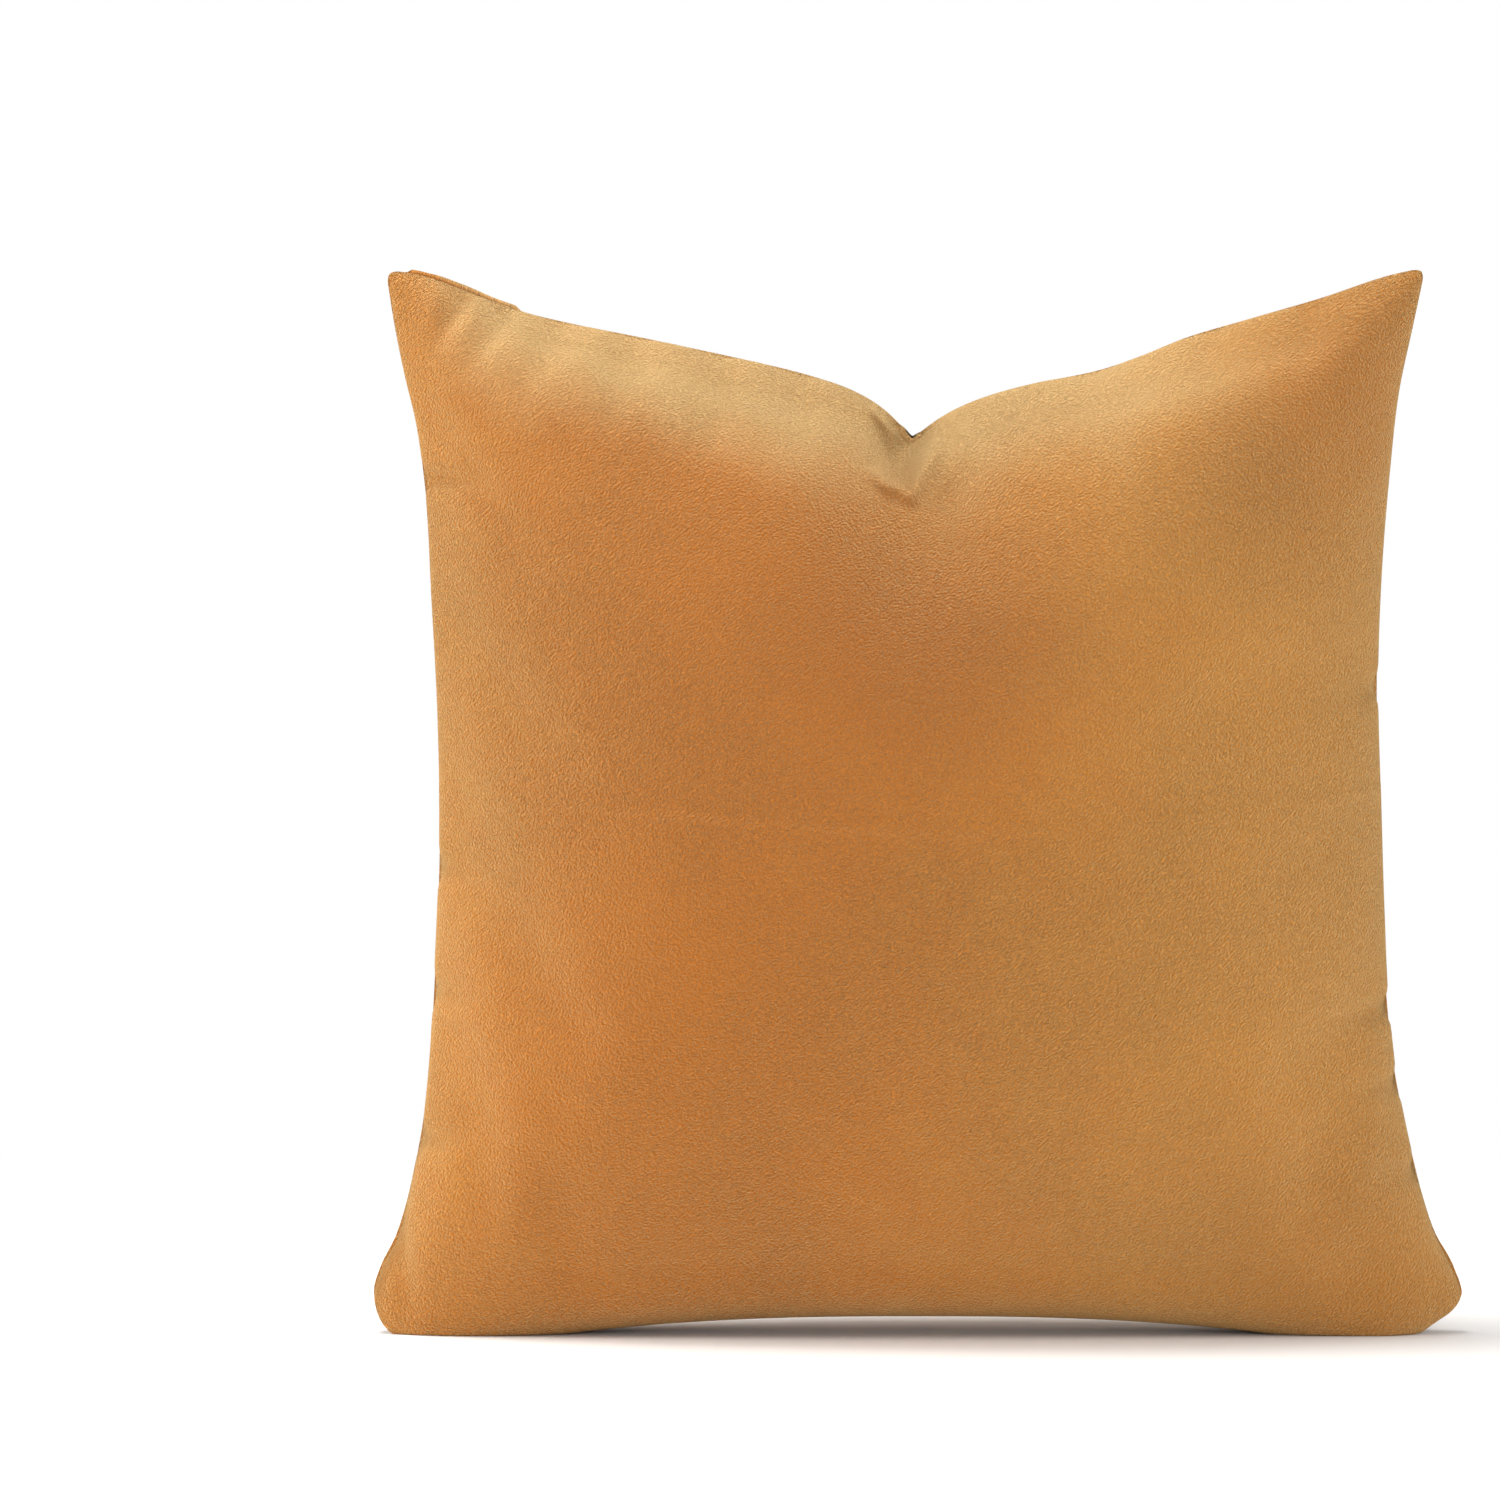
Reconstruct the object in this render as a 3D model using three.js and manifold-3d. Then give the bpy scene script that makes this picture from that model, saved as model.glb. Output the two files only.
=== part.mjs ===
// A square throw pillow: a zipped velvet cover round a fibre-filled insert, standing on its zip edge.
// Millimetres. +X runs along the zip edge, -Y is the front face, +Z is up, and z = 0 is the floor.
import * as THREE from "three";
import { mergeVertices } from "three/addons/utils/BufferGeometryUtils.js";
import Module from "manifold-3d";

const wasm = await Module();
wasm.setup();

// ---------- driving dimensions ----------
const HALF_SIDE = 217; // half of the stuffed cover between two opposite seams
const HALF_WIDTH = 221; // the bottom corners, the widest place
const TOP_LEFT = [-216, 432];
const TOP_RIGHT = [206.5, 433];
const CORNER_RISE = 1.5; // the bottom corners' seam above the zip line
const NOTCH_DEPTH = 24.5; // the dent chopped into the top edge
const NOTCH_LEFT = 18; // how far the dent reaches to each side
const NOTCH_RIGHT = 25;
const NOTCH_SOFTEN = 30; // below the edge the dent turns round, then fades
const NOTCH_FADE = 70;
const FACE_HEIGHT = 380;

const COVER_LIFT = 75.5; // half thickness of the cover at its crown
const COVER_CLOTH = 1.2;
const COVER_ALLOWANCE = 10; // seam allowance turned into the cover
const SEAM_GAP = 0.25; // a panel's rim from the middle plane

const INSERT_INSET = 18; // the insert's seam inside the cover's seam
const INSERT_LIFT = 73;
const INSERT_CLOTH = 0.9;
const INSERT_ALLOWANCE = 5;

const FILL_INSET = 24.5;
const FILL_LIFT = 70.5;

const FULLNESS_MIDDLE = 0.53; // profile exponent at mid height; smaller is boxier
const FULLNESS_SLOPE = 0.07;
const CREASE_DEPTH = 0.22; // share of the thickness lost under the notch
const CREASE_REACH = 0.16;
const CREASE_FROM = 0.25; // height on the face, from -1 to 1, where the crease starts

// Standing on its edge, the pillow's weight pushes both bellies down beside the zip line.
const ZIP_Z = 9.5;
const SAG_ENDS = 18;
const SAG_MIDDLE = 2.5;
const SAG_ARCH = 190; // from the middle to where the sag is full
const SAG_POWER = 2.5; // how late the arch comes down
const SAG_Y = 8;
const SAG_FADE = 38;

const ZIP_HALF = 184; // half the coil's length
const TAPE_HALF = 189;
const SEWN_FROM = 212;
const SEWN_EASE = 12;
const SLIT_HALF = 0.9; // half the gap between the panels along the zip
const ALLOWANCE_AT_ZIP = 5.2; // the zip edge's allowance stands outside the tape
const COIL_IN = 0.9;
const COIL_OUT = 3;
const COIL_LOW = 2.6; // heights inside the cover are counted up from the zip line
const COIL_HIGH = 4.7;
const TAPE_OUT = 4.9;
const TAPE_THICK = 0.5;
const TAPE_LOW = 1.6;
const TAPE_HIGH = 9.5;
const STOP_LENGTH = 4;
const STOP_GAP = 0.4;
const STOP_PROUD = 0.1; // a stop is this much taller than the coil

const SLIDER_X = -176; // closed
const SLIDER_HALF = 4.5;
const WALL_Y = [3.4, 4.1];
const WALL_H = [3.1, 5.5]; // heights from the zip line; below it they are negative
const PLATE_H = [5.1, 6];
const NECK_HALF = [2.5, 0.55];
const NECK_H = [-2.6, 5.5];
const FOOT_HALF = 1.5;
const FOOT_H = [-3.2, -2.3];
const ARCH_IN = 2.8;
const ARCH_OUT = 3.6;
const ARCH_HALF = 0.6;
const POST_H = [-6.2, -2.5];
const BAR_H = [-6.2, -5.4];
const PIVOT_DROP = 4.4; // the pull's hinge line under the zip line
const PULL_THICK = 1.2;
const PULL_LENGTH = 17;
const PULL_BACK = 0.6; // how far the eye's bar reaches behind the hinge line
const PULL_SHOULDER = 5;
const PULL_HALF = 2.4;
const PULL_EYE_HALF = 1.9;
const EYE_X = [0.5, 4.4];
const EYE_HALF = 0.95;

const OVERLOCK_DEPTH = 7.5; // from the seam to where the thread starts on the allowance
const OVERLOCK_GAP = 0.3;
const OVERLOCK_THICK = 0.45;

const COLUMNS = 24;
const ROWS = 18;
const OVERLOCK_COLUMNS = [2, COLUMNS - 2]; // the thread starts and ends clear of the corners
const OVERLOCK_ROWS = [4, ROWS - 3];
const COIL_SIDES = 12;
const PULL_SIDES = 10;

const VELVET = { color: 0xd0935a, roughness: 0.85, metalness: 0 };
const CASING = { color: 0xf2efe8, roughness: 0.9, metalness: 0 };
const FIBRE = { color: 0xfbfaf6, roughness: 1, metalness: 0 };
const THREAD = { color: 0xb9824c, roughness: 0.8, metalness: 0 };
const TAPE = { color: 0xc08a52, roughness: 0.85, metalness: 0 };
const NYLON = { color: 0xb98550, roughness: 0.45, metalness: 0 };
const ZINC = { color: 0xb08a58, roughness: 0.35, metalness: 0.9 };

// ---------- small helpers ----------
const lerp = THREE.MathUtils.lerp;

function ease(t) {
  const c = Math.min(1, Math.max(0, t));
  return c * c * (3 - 2 * c);
}

function solidMesh(positions, triangles) {
  const geometry = new THREE.BufferGeometry();
  geometry.setAttribute("position", new THREE.Float32BufferAttribute(positions.flat(), 3));
  let volume = 0;
  const [a, b, c] = [new THREE.Vector3(), new THREE.Vector3(), new THREE.Vector3()];
  for (const [i, j, k] of triangles) {
    a.fromArray(positions[i]);
    b.fromArray(positions[j]);
    c.fromArray(positions[k]);
    volume += a.dot(b.cross(c));
  }
  const outward = volume > 0 ? triangles : triangles.map(([i, j, k]) => [i, k, j]);
  geometry.setIndex(outward.flat());
  return geometry;
}

function toManifold(geometry) {
  const bare = geometry.clone();
  bare.deleteAttribute("normal");
  bare.deleteAttribute("uv");
  const merged = mergeVertices(bare, 1e-4);
  return new wasm.Manifold(
    new wasm.Mesh({
      numProp: 3,
      vertProperties: merged.attributes.position.array,
      triVerts: new Uint32Array(merged.index.array),
    }),
  );
}

// Joins solids that cross; a pocket shut in between them is left filled.
function union(geometries) {
  const joined = geometries.map(toManifold).reduce((sum, next) => sum.add(next));
  const bodies = joined.decompose().sort((a, b) => b.volume() - a.volume());
  const mesh = bodies[0].getMesh();
  const geometry = new THREE.BufferGeometry();
  geometry.setAttribute("position", new THREE.BufferAttribute(mesh.vertProperties, mesh.numProp));
  geometry.setIndex(new THREE.BufferAttribute(mesh.triVerts, 1));
  return geometry;
}

function block([x0, x1], [y0, y1], [z0, z1]) {
  const box = new THREE.BoxGeometry(x1 - x0, y1 - y0, z1 - z0);
  return box.translate((x0 + x1) / 2, (y0 + y1) / 2, (z0 + z1) / 2);
}

// ---------- the seam outline and the surface between its four sides ----------
// Each side is given by its offsets at even steps from one corner to the next.
const LEFT_X = [-HALF_WIDTH, -202, -197, -195, -198, -204, TOP_LEFT[0]];
const RIGHT_X = [HALF_WIDTH, 199, 191, 188, 188, 194, TOP_RIGHT[0]];
const TOP_Z = [TOP_LEFT[1], 415.5, 403, 394, 390, 391, 402, 417, TOP_RIGHT[1]];
const CORNER_Z = ZIP_Z + CORNER_RISE;
const NOTCH_X = (TOP_LEFT[0] + TOP_RIGHT[0]) / 2;

function curveThrough(values) {
  const curve = new THREE.SplineCurve(values.map((value, n) => new THREE.Vector2(n, value)));
  return (t) => curve.getPoint(t).y;
}
const leftX = curveThrough(LEFT_X);
const rightX = curveThrough(RIGHT_X);
const topZ = curveThrough(TOP_Z);

function leftSide(t) {
  return new THREE.Vector2(leftX(t), lerp(CORNER_Z, TOP_LEFT[1], t));
}

function rightSide(t) {
  return new THREE.Vector2(rightX(t), lerp(CORNER_Z, TOP_RIGHT[1], t));
}

function bottomSide(s) {
  const x = lerp(-HALF_WIDTH, HALF_WIDTH, s);
  const rise = ease((Math.abs(x) - TAPE_HALF) / (HALF_WIDTH - TAPE_HALF));
  return new THREE.Vector2(x, ZIP_Z + CORNER_RISE * rise);
}

function topSide(s) {
  return new THREE.Vector2(lerp(TOP_LEFT[0], TOP_RIGHT[0], s), topZ(s));
}

// A sharp V at the top seam, softer and shallower with the distance below it.
function notchDrop(x, below) {
  const away = x < NOTCH_X ? (NOTCH_X - x) / NOTCH_LEFT : (x - NOTCH_X) / NOTCH_RIGHT;
  const soft = below / NOTCH_SOFTEN;
  return NOTCH_DEPTH * Math.exp(soft - Math.hypot(away, soft) - below / NOTCH_FADE);
}

// u and v run from -1 to 1 across the pillow's face; the answer is its x and z.
function patch(u, v) {
  const s = (1 + u) / 2;
  const t = (1 + v) / 2;
  const [b, a] = [bottomSide(s), topSide(s)];
  const [l, r] = [leftSide(t), rightSide(t)];
  const ruled = (k) => (1 - t) * b[k] + t * a[k] + (1 - s) * l[k] + s * r[k];
  const corners = (k) =>
    (1 - s) * (1 - t) * bottomSide(0)[k] + s * (1 - t) * bottomSide(1)[k] +
    (1 - s) * t * topSide(0)[k] + s * t * topSide(1)[k];
  const x = ruled("x") - corners("x");
  return [x, ruled("y") - corners("y") - notchDrop(x, (1 - t) * FACE_HEIGHT)];
}

function insetPatch(u, v, inset) {
  const k = 1 - inset / HALF_SIDE;
  return patch(k * u, k * v);
}

function fullness(u, v) {
  const p = FULLNESS_MIDDLE + FULLNESS_SLOPE * v;
  const dome = Math.pow(Math.max(0, 1 - u * u), p) * Math.pow(Math.max(0, 1 - v * v), p);
  const under = ease((v - CREASE_FROM) / (1 - CREASE_FROM));
  const crease = CREASE_DEPTH * Math.exp(-((u / CREASE_REACH) ** 2)) * under;
  return dome * (1 - crease);
}

// Every cloth layer is pressed down by the same rule, so nested layers stay nested.
function settled(x, y, z) {
  const depth = lerp(SAG_MIDDLE, SAG_ENDS, Math.min(1, Math.abs(x) / SAG_ARCH) ** SAG_POWER);
  const drop = depth * ease(Math.abs(y) / SAG_Y) * Math.exp(-Math.max(0, z - ZIP_Z) / SAG_FADE);
  return new THREE.Vector3(x, y, Math.max(0, z - drop));
}

// 1 along the zip, easing to 0 where the bottom seam is sewn shut beside the corners.
function zipped(x) {
  return ease((SEWN_FROM - Math.abs(x)) / SEWN_EASE);
}

function rimGap(x) {
  return lerp(SEAM_GAP, SLIT_HALF, zipped(x));
}

// ---------- grids ----------
// Rows crowd towards the zip edge, where the surface turns sharply, and columns towards both sides.
const columnAt = (i) => {
  const t = i / COLUMNS;
  const [a, b] = [t ** 1.5, (1 - t) ** 1.5];
  return (2 * a) / (a + b) - 1;
};
const rowAt = (j) => {
  const t = j / ROWS;
  const [a, b] = [t ** 3, (1 - t) ** 2];
  return (2 * a) / (a + b) - 1;
};

function faceGrid(pointAt) {
  const grid = [];
  for (let j = 0; j <= ROWS; j++)
    for (let i = 0; i <= COLUMNS; i++) grid.push(pointAt(columnAt(i), rowAt(j)));
  return grid;
}

const at = (i, j) => j * (COLUMNS + 1) + i;

function gridTriangles(offset, flipped) {
  const triangles = [];
  for (let j = 0; j < ROWS; j++)
    for (let i = 0; i < COLUMNS; i++) {
      const corners = [at(i, j), at(i + 1, j), at(i + 1, j + 1), at(i, j + 1)];
      const [a, b, c, d] = corners.map((n) => n + offset);
      triangles.push(...(flipped ? [[a, c, b], [a, d, c]] : [[a, b, c], [a, c, d]]));
    }
  return triangles;
}

function borderLoop() {
  const loop = [];
  for (let i = 0; i < COLUMNS; i++) loop.push([i, 0]);
  for (let j = 0; j < ROWS; j++) loop.push([COLUMNS, j]);
  for (let i = COLUMNS; i > 0; i--) loop.push([i, ROWS]);
  for (let j = ROWS; j > 0; j--) loop.push([0, j]);
  return loop;
}

// Joins two loops of the same number of points with a closed band of triangles.
function bandTriangles(first, second) {
  return first.flatMap((a, n) => {
    const m = (n + 1) % first.length;
    return [[a, second[n], second[m]], [a, second[m], first[m]]];
  });
}

// ---------- cloth panels ----------
// The outer face of one half of a stuffed case, before it is given to the front or the back.
function casePoint(inset, lift, gapAt) {
  return (u, v) => {
    const [x, z] = insetPatch(u, v, inset);
    return settled(x, gapAt(x) + lift * fullness(u, v), z);
  };
}

// A cloth shell: the outer face, the same face moved in by the cloth's thickness, and a rim between.
function shell(pointAt, cloth) {
  const outer = faceGrid(pointAt);
  const normals = outer.map(() => new THREE.Vector3());
  for (const [a, b, c] of gridTriangles(0, false)) {
    const edge = outer[b].clone().sub(outer[a]);
    const face = edge.cross(outer[c].clone().sub(outer[a]));
    for (const n of [a, b, c]) normals[n].add(face);
  }
  const inner = outer.map((p, n) => {
    const normal = normals[n];
    if (borderAt.has(n)) normal.y = 0;
    normal.normalize();
    const moved = p.clone().addScaledVector(normal, cloth);
    moved.y = Math.max(moved.y, SEAM_GAP);
    return moved;
  });
  const border = borderLoop().map(([i, j]) => at(i, j));
  const triangles = [
    ...gridTriangles(0, false),
    ...gridTriangles(outer.length, true),
    ...bandTriangles(border, border.map((n) => n + outer.length)),
  ];
  return solidMesh([...outer, ...inner].map((p) => p.toArray()), triangles);
}
const borderAt = new Set(borderLoop().map(([i, j]) => at(i, j)));

// The seam allowance: a flat band turned in from the seam, one ring of cloth inside the case.
function allowance(inset, width, cloth, standOffAt) {
  const loop = borderLoop().map(([i, j]) => [columnAt(i), rowAt(j)]);
  const ring = (depth, offset) =>
    loop.map(([u, v]) => {
      const [x, z] = insetPatch(u, v, inset + depth);
      return settled(x, standOffAt(x, v) + offset, z);
    });
  const root = cloth / 2;
  const rings = [ring(root, 0), ring(width, 0), ring(width, cloth), ring(root, cloth)];
  const index = rings.map((r, n) => r.map((_, m) => n * r.length + m));
  const triangles = index.flatMap((r, n) => bandTriangles(r, index[(n + 1) % index.length]));
  return solidMesh(rings.flat().map((p) => p.toArray()), triangles);
}

function coverPanel() {
  const outer = shell(casePoint(0, COVER_LIFT, rimGap), COVER_CLOTH);
  const standOff = (x, v) => lerp(SEAM_GAP, ALLOWANCE_AT_ZIP, v === -1 ? zipped(x) : 0);
  return union([outer, allowance(0, COVER_ALLOWANCE, COVER_CLOTH, standOff)]);
}

function insertPanel() {
  const gap = () => SEAM_GAP;
  const outer = shell(casePoint(INSERT_INSET, INSERT_LIFT, gap), INSERT_CLOTH);
  return union([outer, allowance(INSERT_INSET, INSERT_ALLOWANCE, INSERT_CLOTH, gap)]);
}

// ---------- the fibre fill, one closed cushion ----------
function fibreFill() {
  const half = faceGrid(casePoint(FILL_INSET, FILL_LIFT, () => 0));
  const mirrored = half.map((p) => new THREE.Vector3(p.x, -p.y, p.z));
  const triangles = [...gridTriangles(0, false), ...gridTriangles(half.length, true)];
  const geometry = solidMesh([...half, ...mirrored].map((p) => p.toArray()), triangles);
  return mergeVertices(geometry, 1e-3);
}

// ---------- overlock stitching: a thread channel round the edge of each sewn allowance ----------
function stationsBetween([first, last], positionAt) {
  return Array.from({ length: last - first + 1 }, (_, n) => positionAt(first + n));
}

// The channel's stations are those of the cloth grid, so the thread bends where the cloth bends.
function overlock(stations, pointOnSide) {
  const inner = SEAM_GAP + COVER_CLOTH + OVERLOCK_GAP;
  const outer = inner + OVERLOCK_THICK;
  const web = COVER_ALLOWANCE + OVERLOCK_GAP;
  const end = web + OVERLOCK_THICK;
  const profile = [
    [OVERLOCK_DEPTH, -outer], [OVERLOCK_DEPTH, -inner], [web, -inner], [web, inner],
    [OVERLOCK_DEPTH, inner], [OVERLOCK_DEPTH, outer], [end, outer], [end, -outer],
  ];
  const points = [];
  for (const along of stations) {
    for (const [depth, y] of profile) {
      const [x, z] = pointOnSide(along, 1 - depth / HALF_SIDE);
      points.push(settled(x, y, z).toArray());
    }
  }
  const triangles = [];
  const size = profile.length;
  const section = (n) => profile.map((_, m) => n * size + m);
  for (let n = 1; n < stations.length; n++) {
    triangles.push(...bandTriangles(section(n - 1), section(n)));
  }
  const flat = profile.map(([depth, y]) => new THREE.Vector2(depth, y));
  const last = (stations.length - 1) * size;
  for (const [a, b, c] of THREE.ShapeUtils.triangulateShape(flat, [])) {
    triangles.push([a, c, b], [last + a, last + b, last + c]);
  }
  return solidMesh(points, triangles);
}

// ---------- the invisible zip ----------
// A profile in y and height above the zip line, run along X between two ends.
function alongZip(profile, x0, x1) {
  const shape = new THREE.Shape(profile.map(([y, h]) => new THREE.Vector2(y, ZIP_Z + h)));
  const geometry = new THREE.ExtrudeGeometry(shape, { depth: x1 - x0, bevelEnabled: false });
  const frame = new THREE.Matrix4().makeBasis(
    new THREE.Vector3(0, 1, 0), new THREE.Vector3(0, 0, 1), new THREE.Vector3(1, 0, 0),
  );
  return geometry.applyMatrix4(frame).translate(x0, 0, 0);
}

function zipperTape(side) {
  const lip = COIL_IN;
  const inner = TAPE_OUT - TAPE_THICK;
  const profile = [[lip, TAPE_LOW], [TAPE_OUT, TAPE_LOW], [TAPE_OUT, TAPE_HIGH], [inner, TAPE_HIGH],
    [inner, TAPE_LOW + TAPE_THICK], [lip, TAPE_LOW + TAPE_THICK]];
  return alongZip(profile.map(([y, h]) => [side * y, h]), -TAPE_HALF, TAPE_HALF);
}

function zipperCoil(side) {
  const [middleY, middleH] = [(COIL_IN + COIL_OUT) / 2, (COIL_LOW + COIL_HIGH) / 2];
  const [radiusY, radiusH] = [(COIL_OUT - COIL_IN) / 2, (COIL_HIGH - COIL_LOW) / 2];
  const profile = [];
  for (let n = 0; n < COIL_SIDES; n++) {
    const turn = (n / COIL_SIDES) * 2 * Math.PI;
    profile.push([side * (middleY + radiusY * Math.cos(turn)), middleH + radiusH * Math.sin(turn)]);
  }
  return alongZip(profile, -ZIP_HALF, ZIP_HALF);
}

const stopHeights = [ZIP_Z + COIL_LOW - STOP_PROUD, ZIP_Z + COIL_HIGH + STOP_PROUD];

function topStop(side) {
  const x1 = -ZIP_HALF - STOP_GAP;
  const ys = side > 0 ? [COIL_IN, COIL_OUT] : [-COIL_OUT, -COIL_IN];
  return block([x1 - STOP_LENGTH, x1], ys, stopHeights);
}

function bottomStop() {
  const x0 = ZIP_HALF + STOP_GAP;
  return block([x0, x0 + STOP_LENGTH], [-COIL_OUT, COIL_OUT], stopHeights);
}

// Inside: a plate with two side walls round the coils. A thin neck passes out between the coils to a
// foot and an arch that holds the pull.
function zipperSlider() {
  const x = (half) => [SLIDER_X - half, SLIDER_X + half];
  const h = ([low, high]) => [ZIP_Z + low, ZIP_Z + high];
  const both = (half) => [-half, half];
  const post = (from, to) => block([SLIDER_X + from, SLIDER_X + to], both(ARCH_HALF), h(POST_H));
  return union([
    block(x(SLIDER_HALF), both(WALL_Y[1]), h(PLATE_H)),
    block(x(SLIDER_HALF), WALL_Y, h(WALL_H)),
    block(x(SLIDER_HALF), [-WALL_Y[1], -WALL_Y[0]], h(WALL_H)),
    block(x(NECK_HALF[0]), both(NECK_HALF[1]), h(NECK_H)),
    block(x(ARCH_OUT), both(FOOT_HALF), h(FOOT_H)),
    post(-ARCH_OUT, -ARCH_IN),
    post(ARCH_IN, ARCH_OUT),
    block(x(ARCH_OUT), both(ARCH_HALF), h(BAR_H)),
  ]);
}

// A teardrop tab with an eye; the bar behind the eye turns in the slider's arch.
function zipperPull() {
  const outline = new THREE.Shape();
  const round = PULL_LENGTH - PULL_HALF;
  outline.moveTo(-PULL_BACK, -PULL_EYE_HALF);
  outline.lineTo(PULL_SHOULDER, -PULL_EYE_HALF);
  outline.lineTo(round, -PULL_HALF);
  outline.absarc(round, 0, PULL_HALF, -Math.PI / 2, Math.PI / 2, false);
  outline.lineTo(PULL_SHOULDER, PULL_EYE_HALF);
  outline.lineTo(-PULL_BACK, PULL_EYE_HALF);
  const eye = new THREE.Path();
  eye.moveTo(EYE_X[0], -EYE_HALF);
  eye.lineTo(EYE_X[1], -EYE_HALF);
  eye.lineTo(EYE_X[1], EYE_HALF);
  eye.lineTo(EYE_X[0], EYE_HALF);
  outline.holes.push(eye);
  const extrusion = { depth: PULL_THICK, bevelEnabled: false, curveSegments: PULL_SIDES };
  const geometry = new THREE.ExtrudeGeometry(outline, extrusion);
  return geometry.translate(SLIDER_X, 0, ZIP_Z - PIVOT_DROP - PULL_THICK / 2);
}

// ---------- assembly ----------
const pillow = new THREE.Group();

function add(name, geometry, look) {
  const mesh = new THREE.Mesh(geometry, new THREE.MeshStandardMaterial(look));
  mesh.name = name;
  pillow.add(mesh);
  return mesh;
}

// The front of a piece is its back seen in a mirror at the middle plane.
function addPair(name, geometry, look) {
  add(name.replace("SIDE", "back"), geometry, look);
  add(name.replace("SIDE", "front"), geometry, look).scale.y = -1;
}

addPair("cover_SIDE_panel", coverPanel(), VELVET);
addPair("insert_SIDE_panel", insertPanel(), CASING);
add("fibre_fill", fibreFill(), FIBRE);
const rowStations = stationsBetween(OVERLOCK_ROWS, rowAt);
const columnStations = stationsBetween(OVERLOCK_COLUMNS, columnAt);
add("overlock_left", overlock(rowStations, (along, depth) => patch(-depth, along * depth)), THREAD);
add("overlock_right", overlock(rowStations, (along, depth) => patch(depth, along * depth)), THREAD);
add("overlock_top", overlock(columnStations, (along, depth) => patch(along * depth, depth)), THREAD);
for (const [label, side] of [["front", -1], ["back", 1]]) {
  add(`zipper_tape_${label}`, zipperTape(side), TAPE);
  add(`zipper_coil_${label}`, zipperCoil(side), NYLON);
  add(`zipper_top_stop_${label}`, topStop(side), ZINC);
}
add("zipper_bottom_stop", bottomStop(), ZINC);
add("zipper_slider", zipperSlider(), ZINC);
add("zipper_pull", zipperPull(), ZINC);

export default pillow;
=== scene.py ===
"""A square velvet throw pillow on its zip edge: its soft pieces, materials, light and camera.

X runs to the right, Y to the back and Z up, from the middle of the pillow's foot.
"""

import math

import bpy
import numpy as np
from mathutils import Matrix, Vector

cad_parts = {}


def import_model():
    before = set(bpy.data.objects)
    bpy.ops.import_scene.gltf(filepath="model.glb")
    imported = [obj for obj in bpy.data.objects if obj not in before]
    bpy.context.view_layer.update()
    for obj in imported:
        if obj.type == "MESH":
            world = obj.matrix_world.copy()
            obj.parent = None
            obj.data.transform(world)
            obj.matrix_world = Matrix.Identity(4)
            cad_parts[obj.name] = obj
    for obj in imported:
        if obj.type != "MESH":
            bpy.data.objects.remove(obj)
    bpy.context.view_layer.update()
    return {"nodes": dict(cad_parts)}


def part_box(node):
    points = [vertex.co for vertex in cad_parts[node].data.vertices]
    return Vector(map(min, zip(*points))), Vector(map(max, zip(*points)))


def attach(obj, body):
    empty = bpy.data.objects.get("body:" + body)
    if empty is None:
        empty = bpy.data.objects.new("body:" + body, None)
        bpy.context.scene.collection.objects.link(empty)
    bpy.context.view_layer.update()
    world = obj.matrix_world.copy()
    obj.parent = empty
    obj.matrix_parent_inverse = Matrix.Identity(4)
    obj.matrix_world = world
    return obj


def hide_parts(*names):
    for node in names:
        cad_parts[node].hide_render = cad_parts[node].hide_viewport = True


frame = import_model()

# ---------- measures, in millimetres unless a comment says otherwise ----------
MM = 0.001

# The seam's outline seen from the front: (z, x) pairs for the sides and (x, z) pairs for the top.
LEFT = [
    (11, -220.5), (18, -221.5), (27, -219), (39, -213), (52, -208.7), (68, -205), (84, -202),
    (100, -200), (125, -198), (150, -196.7), (195, -195), (247, -195.5), (295, -198), (344, -201),
    (369, -204.5), (390, -209.5), (410, -213.5), (432.5, -217),
]
RIGHT = [
    (11, 221), (18, 221), (27, 217.5), (41, 210.6), (58, 205), (74, 201), (90, 197.3),
    (106, 194.3), (139, 190.8), (171, 189.3), (216, 188), (260, 187), (310, 188.6), (350, 192),
    (383, 196), (410, 202), (433.5, 207),
]
TOP = [
    (-217, 432.5), (-201, 430), (-187, 425), (-172, 419.3), (-158, 414.6), (-143, 411),
    (-113, 405), (-85, 399.3), (-60, 394.5), (-30, 390), (0, 388), (47, 389.5), (76, 393.3),
    (91, 398), (106, 404), (135, 412.6), (164, 421), (193, 430.5), (207, 433.5),
]
ZIP_Z = 9.5  # the zip line above the floor
HALF_WIDTH, CORNER_RISE = 221, 1.5  # the bottom corners, and their seam above the zip line
CORNER_ROUNDING = 0.03  # share of a side's half
NOTCH_X, NOTCH_DEPTH, NOTCH_LEFT, NOTCH_RIGHT = -2.4, 24.5, 18, 25
NOTCH_SOFTEN, NOTCH_FADE = 30, 70  # below the edge the dent turns round, then fades
FACE_HEIGHT = 380

LIFT = 74  # half thickness at the crown
FULLNESS_MIDDLE, FULLNESS_SLOPE = 0.475, 0.075  # profile exponent; smaller is boxier
CREASE_DEPTH, CREASE_REACH = 0.22, 0.16  # shares of the thickness and of a side's half
CREASE_FROM = 0.25  # height on the face, from -1 to 1, where the crease starts
HALF_SIDE = 217  # half of the stuffed cover between two opposite seams
HALF_CUT = 225  # half of the cloth square between its seams
SEAM_ALLOWANCE = 10
CLOTH = 1.2
SEAM_GAP = 0.08  # a panel's rim from the middle plane
LIP_DEPTH, LIP_REACH = 1.1, 1.1  # the groove along the sewn seams

TAPE_HALF = 189  # half the zip tapes' length
SEWN_FROM, SEWN_EASE = 212, 12
SLIT_HALF = 0.9  # half the gap between the panels along the zip
ALLOWANCE_AT_ZIP = 5.2  # the zip edge's allowance stands outside the tapes
COIL_PITCH, COIL_WIRE = 1.3, 0.32

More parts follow.
